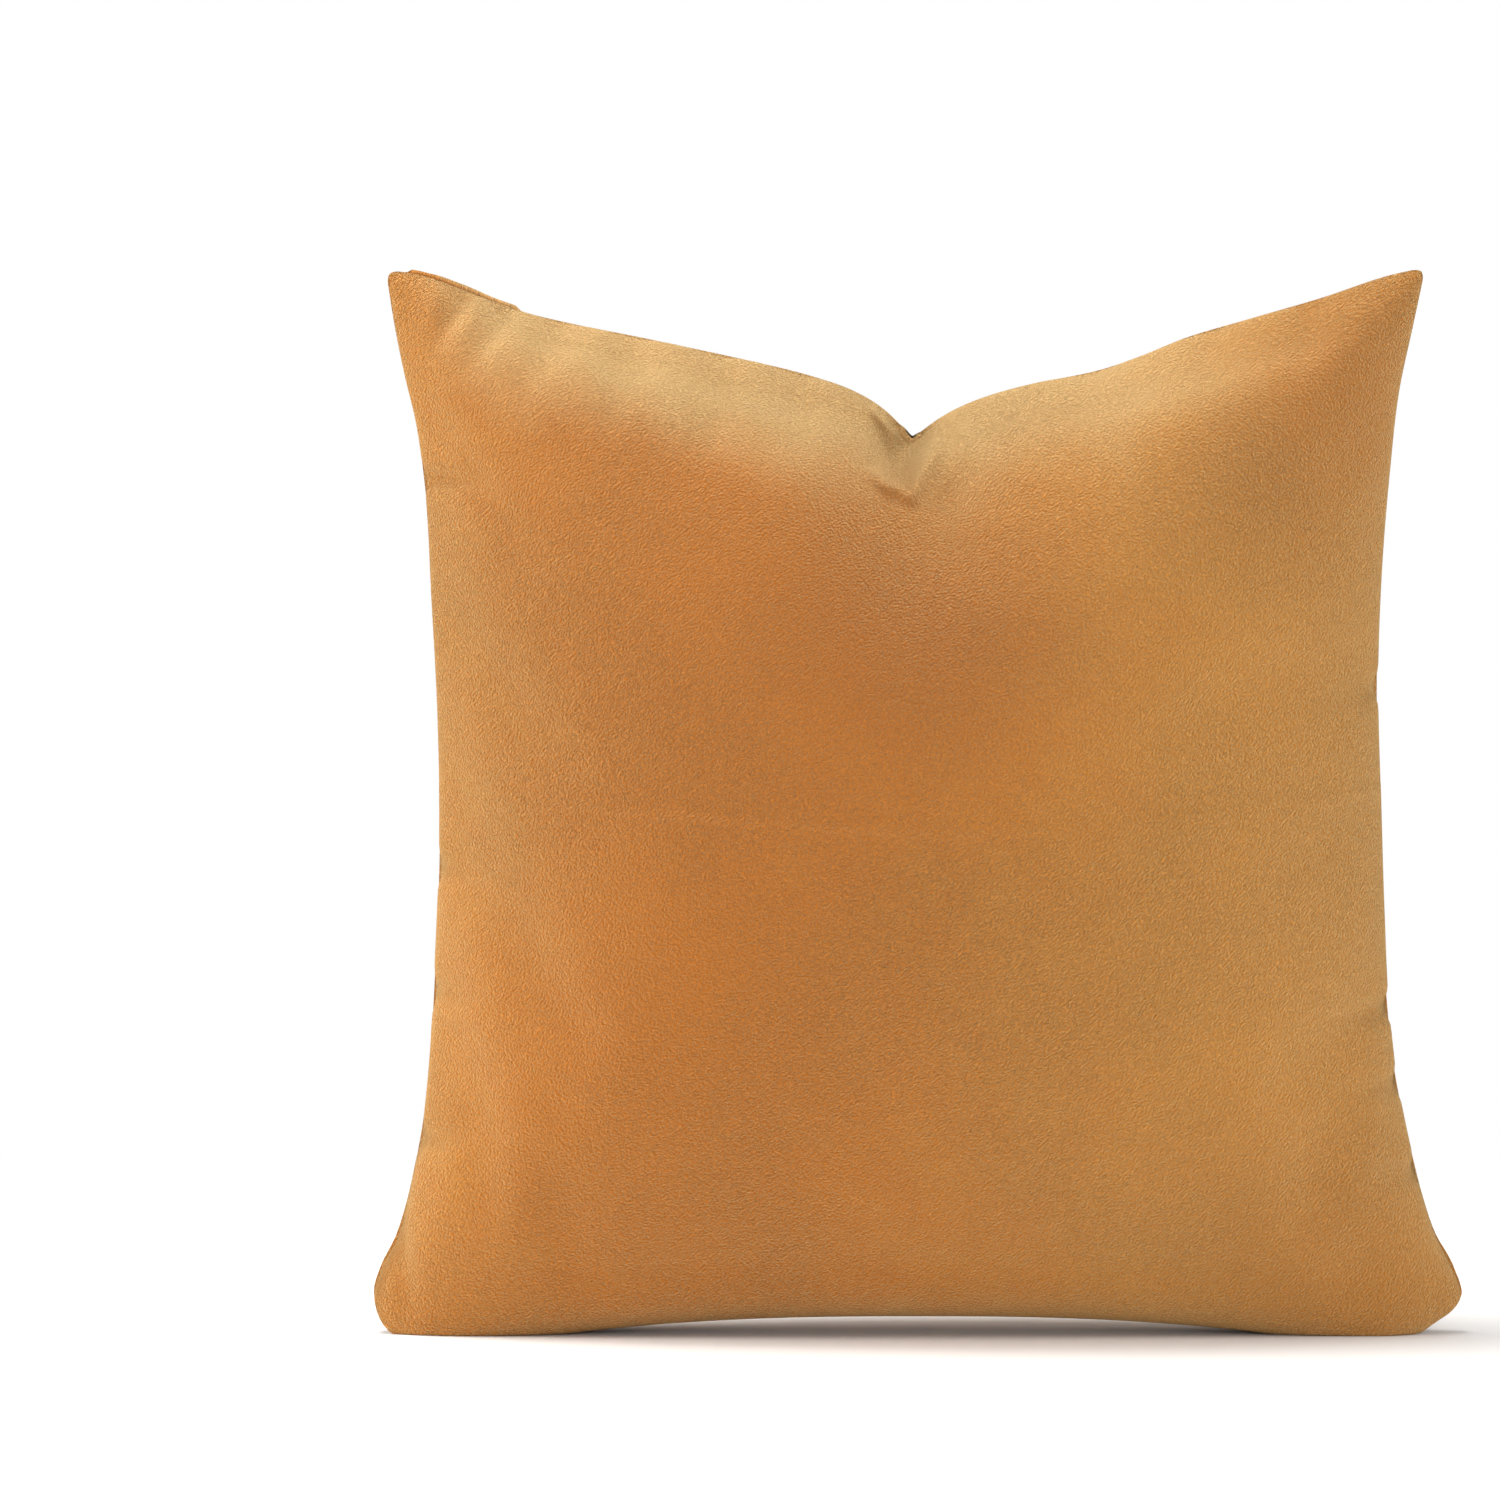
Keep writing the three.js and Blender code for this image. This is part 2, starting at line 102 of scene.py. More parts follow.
# The underside sags most at SAG_ARCH from the middle; the power is how late the arch comes down.
SAG_ENDS, SAG_MIDDLE, SAG_ARCH, SAG_POWER = 18, 2.5, 190, 2.5
SAG_Y, SAG_FADE = 8, 38  # off the zip line and above it
RIGHT_CORNER = 184  # from here on the right bottom corner is held up off the floor
RIGHT_CORNER_EASE, RIGHT_CORNER_SHARE = 36, 0.55

SIM_CELLS, SIM_FRAMES, SIM_FULL_AT = 80, 46, 12
SIM_SHARE, SIM_CAP = 0.5, 14  # how much of the cloth's move is used, and the most that it may be
SIM_FLOOR, SIM_NOISE = 3, 0.5  # the flat squares' height at the start and their unevenness
SIM_EASE = 0.14  # height on the face over which the simulated shape comes in
CELLS = 200
GATHER_EASE, FOLD_EASE, PEEK_EASE = 7, 10, 3  # half thickness at which each is in full

INSERT_INSET, INSERT_CLOTH, INSERT_CLEAR, INSERT_ALLOWANCE = 18, 0.9, 3, 5
INSERT_WEAVE_HALF = 215  # half the width of the casing's weave
FILL_INSET, FILL_CLEAR = 24.5, 5.5
INNER_CELLS = 96
INNER_TAPER, INNER_FULLNESS = 0.3, 1.25  # the inner pieces thin out towards their own seams
INNER_RAISE, INNER_RAISE_FADE = 1.5, 30  # clearances that the inner pieces are raised by at the foot
LUMP_DEPTH = 0.012  # share of the fill's thickness

OVERLOCK_SIDE_HALF, OVERLOCK_TOP_HALF = 190, 205
OVERLOCK_PITCH, OVERLOCK_WIRE = 3.2, 0.28
OVERLOCK_DEPTH, OVERLOCK_REACH, OVERLOCK_HALF = 9.1, 1.5, 2.0  # from the seam, to each side, in Y
THREAD_SIDES = 6

FLOOR_RADIUS, FLOOR_SIDES, FLOOR_DROP = 9000, 96, 0.2
LIGHT_AIM = (0, 0, 0.22)  # metres
CAMERA_PLACE = (-0.0683, -2.0, 0.2366)  # metres
CAMERA_LENS = 118

random = np.random.default_rng(11)


# ---------- the seam outline and the surface between its four sides ----------
def ease(t):
    """A smooth step from 0 at 0 to 1 at 1."""
    t = np.clip(t, 0, 1)
    return t * t * (3 - 2 * t)


def curve_through(knots, at):
    """A smooth curve through (place, value) pairs, read at the places given."""
    x, y = np.array(knots, float).T
    slope = np.gradient(y, x)
    i = np.clip(np.searchsorted(x, at) - 1, 0, len(x) - 2)
    span = x[i + 1] - x[i]
    t = np.clip((at - x[i]) / span, 0, 1)
    return (
        (2 * t**3 - 3 * t**2 + 1) * y[i] + (t**3 - 2 * t**2 + t) * span * slope[i]
        + (3 * t**2 - 2 * t**3) * y[i + 1] + (t**3 - t**2) * span * slope[i + 1]
    )


def notch_drop(x, below):
    """The dent chopped into the top edge: a sharp V at the seam that softens and fades below it."""
    away = np.where(x < NOTCH_X, (NOTCH_X - x) / NOTCH_LEFT, (x - NOTCH_X) / NOTCH_RIGHT)
    soft = below / NOTCH_SOFTEN
    return NOTCH_DEPTH * np.exp(soft - np.hypot(away, soft) - below / NOTCH_FADE)


def bottom_edge(x):
    """The bottom seam's height, which rises a little past the ends of the zip."""
    return ZIP_Z + CORNER_RISE * ease((np.abs(x) - TAPE_HALF) / (HALF_WIDTH - TAPE_HALF))


def rounded(u, v):
    """Maps the square's corners onto small arcs."""
    start = 1 - CORNER_ROUNDING
    a, b = (np.abs(u) - start) / CORNER_ROUNDING, (np.abs(v) - start) / CORNER_ROUNDING
    corner = (a > 0) & (b > 0)
    arc_a = a * np.sqrt(np.maximum(0, 1 - b * b / 2))
    arc_b = b * np.sqrt(np.maximum(0, 1 - a * a / 2))
    new_u = np.where(corner, start + CORNER_ROUNDING * arc_a, np.abs(u))
    new_v = np.where(corner, start + CORNER_ROUNDING * arc_b, np.abs(v))
    return np.sign(u) * new_u, np.sign(v) * new_v


def patch(u, v):
    """u and v run from -1 to 1 across the pillow's face; the answer is x and z."""
    u, v = rounded(u, v)
    s, t = (1 + u) / 2, (1 + v) / 2
    (z_low, x_bl), (z_tl, x_tl) = LEFT[0], LEFT[-1]
    (_, x_br), (z_tr, x_tr) = RIGHT[0], RIGHT[-1]
    bottom_x, top_x = x_bl + (x_br - x_bl) * s, x_tl + (x_tr - x_tl) * s
    bottom_z, top_z = bottom_edge(bottom_x), curve_through(TOP, top_x)
    left_z, right_z = z_low + (z_tl - z_low) * t, z_low + (z_tr - z_low) * t
    left_x, right_x = curve_through(LEFT, left_z), curve_through(RIGHT, right_z)
    corner_x = (1 - t) * ((1 - s) * x_bl + s * x_br) + t * ((1 - s) * x_tl + s * x_tr)
    corner_z = (1 - t) * z_low + t * ((1 - s) * z_tl + s * z_tr)
    x = (1 - t) * bottom_x + t * top_x + (1 - s) * left_x + s * right_x - corner_x
    z = (1 - t) * bottom_z + t * top_z + (1 - s) * left_z + s * right_z - corner_z
    return x, z - notch_drop(x, (1 - v) * FACE_HEIGHT / 2)


def fullness(u, v):
    """Half thickness as a share of LIFT, with a crease that runs down from the notch."""
    power = FULLNESS_MIDDLE + FULLNESS_SLOPE * v
    plain = np.maximum(0, 1 - u * u) ** power * np.maximum(0, 1 - v * v) ** power
    started = ease((v - CREASE_FROM) / (1 - CREASE_FROM))
    crease = CREASE_DEPTH * np.exp(-((u / CREASE_REACH) ** 2)) * started
    return plain * (1 - crease)


def dome(u, v):
    """The stuffed half cover before the cloth settles: x, half thickness and z."""
    x, z = patch(u, v)
    return np.stack([x, LIFT * fullness(u, v), z], -1)


def settled(points):
    """The pillow's own weight presses both bellies down beside the zip line and onto the floor."""
    x, y, z = np.moveaxis(points, -1, 0)
    depth = SAG_MIDDLE + (SAG_ENDS - SAG_MIDDLE) * np.minimum(1, np.abs(x) / SAG_ARCH) ** SAG_POWER
    depth = depth * (1 - RIGHT_CORNER_SHARE * ease((x - RIGHT_CORNER) / RIGHT_CORNER_EASE))
    drop = depth * ease(np.abs(y) / SAG_Y) * np.exp(-np.maximum(0, z - ZIP_Z) / SAG_FADE)
    return np.stack([x, y, np.maximum(0, z - drop)], -1)


def zipped(x):
    """1 along the zip and 0 where the bottom seam is sewn, at its ends."""
    return ease((SEWN_FROM - np.abs(x)) / SEWN_EASE)


# ---------- meshes ----------
def quads(index, flipped=False):
    """The four-sided faces of a grid of vertex numbers."""
    corners = [index[:-1, :-1], index[:-1, 1:], index[1:, 1:], index[1:, :-1]]
    faces = np.stack(corners, -1).reshape(-1, 4)
    return faces[:, ::-1] if flipped else faces


def border(index):
    """What lies along a grid's edge, once round."""
    return np.concatenate([index[0, :-1], index[:-1, -1], index[-1, :0:-1], index[:0:-1, 0]])


def band(first, second):
    """Faces between two closed rings of vertex numbers."""
    return np.stack([first, np.roll(first, -1), np.roll(second, -1), second], -1)


def new_piece(name, points, faces, uvs=None):
    """A smooth mesh object from points in millimetres, with one or two uvs per point in metres."""
    mesh = bpy.data.meshes.new(name)
    mesh.from_pydata((np.asarray(points) * MM).tolist(), [], [list(face) for face in faces])
    mesh.update()
    mesh.shade_smooth()
    if uvs is not None:
        corner_vertex = np.empty(len(mesh.loops), int)
        mesh.loops.foreach_get("vertex_index", corner_vertex)
        for layer_name, uv in zip(("cloth", "square"), np.split(uvs, uvs.shape[1] // 2, axis=1)):
            layer = mesh.uv_layers.new(name=layer_name)
            layer.data.foreach_set("uv", uv[corner_vertex].astype(np.float32).ravel())
    piece = bpy.data.objects.new(name, mesh)
    bpy.context.scene.collection.objects.link(piece)
    return piece


def crowded(cells, *crowds):
    """Steps from -1 to 1 that lie closer together round each (place, reach, strength)."""
    fine = np.linspace(-1, 1, 8001)
    density = 1 + sum(k * np.exp(-(((fine - place) / reach) ** 2)) for place, reach, k in crowds)
    total = np.concatenate([[0], np.cumsum((density[1:] + density[:-1]) / 2)])
    return np.interp(np.linspace(0, total[-1], cells + 1), total, fine)


def cubic_weights(at, cells):
    """Rows of weights that interpolate an even grid of cells + 1 values at the places given."""
    place = (np.clip(at, -1, 1) + 1) / 2 * cells
    cell = np.minimum(place.astype(int), cells - 1)
    t = place - cell
    shares = [
        (-t + 2 * t**2 - t**3) / 2, (2 - 5 * t**2 + 3 * t**3) / 2,
        (t + 4 * t**2 - 3 * t**3) / 2, (t**3 - t**2) / 2,
    ]
    weights = np.zeros((len(at), cells + 1))
    for k, share in enumerate(shares):
        column = np.clip(cell + k - 1, 0, cells)
        np.add.at(weights, (np.arange(len(at)), column), share)
    return weights


def second_half(index):
    """Vertex numbers of another half that shares this one's border, and which are its own."""
    own = np.zeros(index.shape, bool)
    own[1:-1, 1:-1] = True
    numbers = index.copy()
    numbers[own] = index.size + np.arange(own.sum())
    return numbers, own


def softened(grid, passes):
    """Averages a grid with its neighbours, and leaves its border as it is."""
    for _ in range(passes):
        inner = grid[1:-1, 1:-1] * 4 + 2 * (
            grid[:-2, 1:-1] + grid[2:, 1:-1] + grid[1:-1, :-2] + grid[1:-1, 2:]
        ) + grid[:-2, :-2] + grid[:-2, 2:] + grid[2:, :-2] + grid[2:, 2:]
        grid = grid.copy()
        grid[1:-1, 1:-1] = inner / 16
    return grid


# ---------- the cover's cloth, by simulation ----------
def simulate_cover():
    """Two flat squares, sewn together round their edge, are blown up, and their seam is drawn to
    the outline. Returns how far the cloth rests from the plain dome, on the front and the back."""
    step = np.linspace(-1, 1, SIM_CELLS + 1)
    u, v = np.meshgrid(step, step)
    half = dome(u, v)
    index = np.arange(u.size).reshape(u.shape)
    back_index, inside = second_half(index)
    noise = softened(random.normal(size=u.shape + (2,)), 6)
    noise = noise / noise.std() * inside[..., None]
    front, back = half * [1, -1, 1], half.copy()
    front[..., 1] += SIM_NOISE * noise[..., 0]
    back[..., 1] += SIM_NOISE * noise[..., 1]
    flat = np.stack([u * HALF_CUT, 0 * u, v * HALF_CUT + HALF_SIDE + SIM_FLOOR], -1)
    full = np.concatenate([front.reshape(-1, 3), back[inside]])
    cut = np.concatenate([flat.reshape(-1, 3), flat[inside]])
    cloth = new_piece("cloth", cut, np.concatenate([quads(index), quads(back_index, True)]))
    cloth.shape_key_add(name="Basis")
    key = cloth.shape_key_add(name="full")
    key.data.foreach_set("co", (full * MM).astype(np.float32).ravel())
    for at, value in ((1, 0), (SIM_FULL_AT, 1)):
        key.value = value
        key.keyframe_insert("value", frame=at)
    seam = cloth.vertex_groups.new(name="seam")
    seam.add(np.unique(border(index)).tolist(), 1, "REPLACE")
    modifier = cloth.modifiers.new("Cloth", "CLOTH")
    settings = modifier.settings
    settings.quality = 6
    settings.mass = 0.2
    settings.tension_stiffness = settings.compression_stiffness = 14
    settings.shear_stiffness = 3
    settings.bending_stiffness = 5
    settings.use_pressure = True
    settings.uniform_pressure_force = 9
    settings.vertex_group_mass = "seam"
    settings.air_damping = 4
    settings.effector_weights.gravity = 0
    modifier.collision_settings.use_collision = False
    modifier.collision_settings.use_self_collision = False
    modifier.point_cache.frame_start, modifier.point_cache.frame_end = 1, SIM_FRAMES
    for number in range(1, SIM_FRAMES + 1):
        bpy.context.scene.frame_set(number)
    result = cloth.evaluated_get(bpy.context.evaluated_depsgraph_get()).to_mesh()
    rest = np.empty(len(result.vertices) * 3, np.float32)
    result.vertices.foreach_get("co", rest)
    rest = rest.reshape(-1, 3) / MM
    bpy.context.scene.frame_set(1)
    action = cloth.data.shape_keys.animation_data.action
    bpy.data.objects.remove(cloth)
    bpy.data.actions.remove(action)
    moves = []
    for ids, side in ((index, -1), (back_index, 1)):
        move = rest[ids] * [1, side, 1] - half
        length = np.linalg.norm(move, axis=-1, keepdims=True) + 1e-9
        moves.append(softened(move * np.tanh(length / SIM_CAP) * SIM_CAP / length, 2))
    return moves


front_move, back_move = simulate_cover()


# ---------- folds round the notch ----------
def bump(x, z, middle, reach, turn=0):
    """1 at the middle, fading over reach = (along, across), turned by degrees from +X."""
    c, s = math.cos(math.radians(turn)), math.sin(math.radians(turn))
    dx, dz = x - middle[0], z - middle[1]
    return np.exp(-(((dx * c + dz * s) / reach[0]) ** 2) - ((dz * c - dx * s) / reach[1]) ** 2)


def line_distance(x, z, points):
    """Distance to a chain of points, and the share of the chain's length that is behind."""
    best, where = np.full(x.shape, 1e9), np.zeros(x.shape)
    ends = np.array(points, float)
    lengths = np.linalg.norm(np.diff(ends, axis=0), axis=1)
    behind = 0
    for (ax, az), (bx, bz), length in zip(ends[:-1], ends[1:], lengths):
        t = np.clip(((x - ax) * (bx - ax) + (z - az) * (bz - az)) / length**2, 0, 1)
        away = np.hypot(x - ax - t * (bx - ax), z - az - t * (bz - az))
        where = np.where(away < best, (behind + t * length) / lengths.sum(), where)
        best = np.minimum(best, away)
        behind += length
    return best, where


NOTCH_FOOT, NOTCH_CREST, NOTCH_LIP = (-4, 338), (10.6, 366), (-24, 349)
NOTCH_PLEATS = [
    # a small ridge: the points along it, its height and its width
    ([(-22, 377), (-12, 367), (-3, 359)], 2.8, 1.7),
    ([(-17, 371), (-11, 363), (-6, 352)], 2.2, 1.6),
    ([(-20, 350), (-16, 343), (-9, 338)], 2.4, 2.2),
    ([(14, 370), (22, 356), (34, 345)], 1.6, 5.0),
]
GATHERS = [
    # a fold that runs in from the seam: where it starts, where it ends, its depth and its width
    ((-204, 347), (-168, 343), 4.2, 4.0),
    ((-202, 190), (-168, 186), 3.2, 4.5),
    ((-203, 140), (-168, 138), 3.0, 5.0),
    ((-208, 80), (-174, 86), 3.4, 4.5),
    ((192, 263), (160, 259), 3.0, 4.5),
    ((194, 134), (160, 128), 3.8, 4.0),
    ((200, 103), (168, 104), 3.0, 4.0),
    ((208, 67), (178, 73), 3.0, 4.0),
    ((-184, 424), (-199, 392), 3.6, 4.5),
    ((-168, 418), (-184, 384), 3.4, 5.0),
    ((-146, 412), (-160, 372), 2.8, 7.0),
    ((-116, 405), (-124, 358), 2.6, 8.0),
    ((-82, 398), (-84, 346), 2.8, 8.0),
    ((-50, 392), (-48, 342), 2.2, 8.0),
    ((118, 407), (114, 370), 2.2, 8.0),
    ((158, 419), (154, 380), 2.4, 7.0),
    ((-212, 46), (-203, 14), 2.6, 5.0),
    ((70, 394), (64, 360), 1.6, 8.0),
]
# The back's folds are the front's, mirrored and shallower.
BACK_GATHERS = [
    ((-x, z), (-to_x, to_z), 0.7 * depth, width)
    for (x, z), (to_x, to_z), depth, width in GATHERS
]
PEEKS = [
    # where the back swells past the seam: middle, reach, the seam's slant and how far it moves
    ((-191, 424), (26, 9), -20, np.array([0.2, 3.0])),
    ((213, 32), (17, 8), -63, np.array([2.6, 0.8])),
]


def left_of(x, z, start, end):
    """Distance to the left of the line from start to end, and 0 to its right."""
    (ax, az), (bx, bz) = start, end
    return np.maximum(0, (bx - ax) * (z - az) - (bz - az) * (x - ax)) / math.dist(start, end)


def well_past(distance, reach):
    """0 on a line, half at reach from it and 1 far away."""
    return (distance / reach) ** 2 / (1 + (distance / reach) ** 2)


def ridge(x, z, points, height, width, tail):
    """A fold along a chain of points that rises at its start and falls over its tail."""
    away, along = line_distance(x, z, points)
    return height * np.exp(-((away / width) ** 2)) * ease(along / 0.3) * ease((1 - along) / tail)


def notch_folds(x, z):
    """How far the front stands out at the notch: a pocket, a crest to its right and a lip below."""
    inside_crest = well_past(left_of(x, z, NOTCH_FOOT, NOTCH_CREST), 3)
    above_lip = well_past(left_of(x, z, NOTCH_LIP, NOTCH_FOOT), 4)
    total = ridge(x, z, [NOTCH_CREST, NOTCH_FOOT, NOTCH_LIP], 4.2, 2.8, 0.5)
    for points, height, width in NOTCH_PLEATS:
        total = total + ridge(x, z, points, height, width, 0.4)
    total = total - 14 * inside_crest * above_lip * bump(x, z, (-7, 357), (19, 11), 60)
    return total - 4 * bump(x, z, (13, 340), (14, 7), 60)


def back_folds(x, z):
    """The softer dent on the back."""
    return -5 * bump(x, z, (-2, 356), (9, 16))


def gathered(x, z, gathers):
    """Small folds that run in from the seams."""
    total = 0
    for start, end, depth, width in gathers:
        away, along = line_distance(x, z, [start, end])
        total = total - depth * np.exp(-((away / width) ** 2)) * ease((1 - along) / 0.8)
    return total


# ---------- the surface of each half of the cover ----------
# The grid's cells are smaller along the seams and round the notch.
columns = crowded(CELLS, (-1, 0.04, 3), (1, 0.04, 3), (-0.01, 0.12, 1.2))
rows = crowded(CELLS, (-1, 0.06, 4), (1, 0.04, 3), (0.75, 0.12, 0.6))
U, V = np.meshgrid(columns, rows)
across, up = cubic_weights(columns, SIM_CELLS), cubic_weights(rows, SIM_CELLS)


def normals_of(points):
    """Unit normals of a half's grid that point out of the pillow, towards +Y."""
    normal = np.cross(np.gradient(points, axis=1), np.gradient(points, axis=0))
    normal /= np.maximum(np.linalg.norm(normal, axis=-1, keepdims=True), 1e-9)
    return normal * np.sign(normal[len(normal) // 2, len(normal) // 2, 1])


def cover_half(move, folds, gathers, peeks=()):
    """One half's outer surface, as a grid of points with Y out of the pillow."""
    share = SIM_SHARE * ease((V + 1) / SIM_EASE)[..., None]
    detail = np.einsum("ja,abk,ib->jik", up, move, across)
    points = dome(U, V) + share * detail
    x, y, z = np.moveaxis(points, -1, 0)
    points += (gathered(x, z, gathers) * ease(y / GATHER_EASE))[..., None] * normals_of(points)
    points[..., 1] += folds(x, z) * ease(y / FOLD_EASE)
    for middle, reach, turn, shift in peeks:
        swell = bump(x, z, middle, reach, turn) * ease(y / PEEK_EASE)
        points[..., [0, 2]] += swell[..., None] * shift
    x = points[..., 0]
    gap = SEAM_GAP + (SLIT_HALF - SEAM_GAP) * zipped(x) * (V < 0)
    points[..., 1] = np.maximum(points[..., 1], 0) + gap
    return settled(points)


front_half = cover_half(front_move, notch_folds, GATHERS)
back_half = cover_half(back_move, back_folds, BACK_GATHERS, PEEKS)


def lengths_over(points, axis):
    """Lengths over the cloth from the grid's first column (axis 1) or first row (axis 0)."""
    lengths = np.linalg.norm(np.diff(points, axis=axis), axis=-1)
    return np.insert(np.cumsum(lengths, axis), 0, 0, axis)


def cloth_map(points):
    """Two uvs per point: lengths over the cloth from its middle, and the place on the square."""
    def from_middle(axis, steps):
        ahead = lengths_over(points, axis)
        return ahead - np.take(ahead, [np.argmin(np.abs(steps))], axis)

    lengths = [from_middle(1, columns), from_middle(0, rows)]
    return np.stack([*lengths, U * HALF_CUT, V * HALF_CUT], -1) * MM


def with_lips(points):
    """Turns each panel's edge in a little, so that a fine groove runs along the sewn seams."""
    shifted = points.copy()
    across_step, up_step = np.gradient(points, axis=1), np.gradient(points, axis=0)
    from_left, from_bottom = lengths_over(points, 1), lengths_over(points, 0)
    for away, step in (
        (from_left, across_step),
        (from_left[:, -1:] - from_left, -across_step),
        (from_bottom[-1:] - from_bottom, -up_step),
    ):
        flat_step = step * [1, 0, 1]
        flat_step /= np.maximum(np.linalg.norm(flat_step, axis=-1, keepdims=True), 1e-9)
        shifted += LIP_DEPTH * np.exp(-away / LIP_REACH)[..., None] * flat_step
    return shifted


def shell(points, outer, cloth, uvs, extra=()):
    """A closed cloth panel: its outer face, an inner face and a rim, plus closed extra bodies."""
    normal = normals_of(points)
    edge = np.ones(points.shape[:2], bool)
    edge[1:-1, 1:-1] = False
    normal[edge] *= [1, 0, 1]
    normal /= np.maximum(np.linalg.norm(normal, axis=-1, keepdims=True), 1e-9)
    inner = points - cloth * normal
    inner[..., 1] = np.maximum(inner[..., 1], SEAM_GAP)
    index = np.arange(points[..., 0].size).reshape(points.shape[:2])
    count = index.size
    everything = [outer.reshape(-1, 3), inner.reshape(-1, 3)]
    faces = [quads(index, True), quads(index + count), band(border(index), border(index) + count)]
    all_uvs = [uvs.reshape(count, -1)] * 2
    at = 2 * count
    for more_points, more_faces in extra:
        everything.append(more_points)
        faces.append(more_faces + at)
        all_uvs.append(np.tile(more_points[:, [0, 2]] * MM, uvs.shape[-1] // 2))
        at += len(more_points)
    return np.concatenate(everything), np.concatenate(faces), np.concatenate(all_uvs)


def turned_allowance():
    """The seam allowance turned inside: one flat ring of cloth along the seam."""
    u, v = border(U), border(V)

    def ring(depth, offset):
        k = 1 - depth / HALF_SIDE
        x, z = patch(k * u, k * v)
        off_seam = SEAM_GAP + (ALLOWANCE_AT_ZIP - SEAM_GAP) * np.where(v == -1, zipped(x), 0)
        return np.stack([x, off_seam + offset, z], -1)

    root, tip = CLOTH / 2, SEAM_ALLOWANCE
    rings = [ring(root, 0), ring(tip, 0), ring(tip, CLOTH), ring(root, CLOTH)]
    ids = np.arange(4 * len(u)).reshape(4, -1)
    faces = np.concatenate([band(ids[n], ids[(n + 1) % 4]) for n in range(4)])
    return np.concatenate(rings), faces


def mirrored(points, faces):
    """Puts a piece on the other side of the middle plane."""
    return points * [1, -1, 1], faces[:, ::-1]


def cover_panel(name, half, side):
    """The cover's front (side -1) or back (side 1), with its allowance turned in."""
    extra = [turned_allowance()]
    points, faces, uvs = shell(half, with_lips(half), CLOTH, cloth_map(half), extra)
    if side < 0:
        points, faces = mirrored(points, faces)
    return new_piece(name, points, faces, uvs)


cover_front = cover_panel("cover_front", front_half, -1)
cover_back = cover_panel("cover_back", back_half, 1)

# ---------- the insert and its fill, inside the cover ----------
inner_step = crowded(INNER_CELLS, (-1, 0.05, 2), (1, 0.05, 2))
INNER_U, INNER_V = np.meshgrid(inner_step, inner_step)


def inside_cover(half, inset, clear):
    """The cover's surface drawn in by inset at its seam and by clear across its thickness."""
    k = 1 - inset / HALF_SIDE
    at_u = np.interp(k * inner_step, columns, np.arange(CELLS + 1))
    at_v = np.interp(k * inner_step, rows, np.arange(CELLS + 1))
    i, j = np.minimum(at_u.astype(int), CELLS - 1), np.minimum(at_v.astype(int), CELLS - 1)
    fu, fv = (at_u - i)[None, :, None], (at_v - j)[:, None, None]
    low = half[j][:, i] * (1 - fu) + half[j][:, i + 1] * fu
    high = half[j + 1][:, i] * (1 - fu) + half[j + 1][:, i + 1] * fu
    points = low * (1 - fv) + high * fv
    taper = INNER_FULLNESS * ((1 - INNER_U**2) * (1 - INNER_V**2)) ** INNER_TAPER
    points[..., 1] = np.maximum(points[..., 1] - clear, 0) * np.minimum(1, taper)
    points[..., 2] += INNER_RAISE * clear * np.exp(-points[..., 2] / INNER_RAISE_FADE)
    return points


def insert_panel(name, half, side):
    """One panel of the insert's casing."""
    points = inside_cover(half, INSERT_INSET, INSERT_CLEAR)
    points[..., 1] += SEAM_GAP
    uvs = np.stack([INNER_U, INNER_V], -1) * INSERT_WEAVE_HALF * MM
    points, faces, uvs = shell(points, points, INSERT_CLOTH, uvs)
    if side < 0:
        points, faces = mirrored(points, faces)
    return new_piece(name, points, faces, uvs)


insert_front = insert_panel("insert_front", front_half, -1)
insert_back = insert_panel("insert_back", back_half, 1)


def fibre_fill():
    """The fill as one closed, slightly lumpy body."""
    lumps = softened(random.normal(size=INNER_U.shape + (2,)), 5)
    lumps = 1 - LUMP_DEPTH * np.abs(lumps / lumps.std())
    front = inside_cover(front_half, FILL_INSET, FILL_CLEAR) * [1, -1, 1]
    back = inside_cover(back_half, FILL_INSET, FILL_CLEAR)
    front[..., 1] *= lumps[..., 0]
    back[..., 1] *= lumps[..., 1]
    index = np.arange(INNER_U.size).reshape(INNER_U.shape)
    back_index, inside = second_half(index)
    points = np.concatenate([front.reshape(-1, 3), back[inside]])
    return new_piece("fill", points, np.concatenate([quads(index), quads(back_index, True)]))


fill = fibre_fill()


# ---------- threads and zip coils ----------
def tube(name, path, radius):
    """A round thread of that radius along a path, closed at both ends."""
    path = np.asarray(path, float)
    along = np.gradient(path, axis=0)
    along /= np.linalg.norm(along, axis=1, keepdims=True)
    side = np.cross(along, [0.31, 0.47, 0.83])
    side /= np.linalg.norm(side, axis=1, keepdims=True)
    other = np.cross(along, side)
    turn = np.linspace(0, 2 * math.pi, THREAD_SIDES, endpoint=False)[None, :, None]
    rings = path[:, None] + radius * (np.cos(turn) * side[:, None] + np.sin(turn) * other[:, None])
    index = np.arange(rings.shape[0] * THREAD_SIDES).reshape(-1, THREAD_SIDES)
    index = np.concatenate([index, index[:, :1]], 1)
    body = quads(index)
    points = np.concatenate([rings.reshape(-1, 3), path[:1], path[-1:]])
    first, last = len(points) - 2, len(points) - 1
    caps = [[first, index[0, n + 1], index[0, n]] for n in range(THREAD_SIDES)]
    caps += [[last, index[-1, n], index[-1, n + 1]] for n in range(THREAD_SIDES)]
    return new_piece(name, points, body.tolist() + caps)


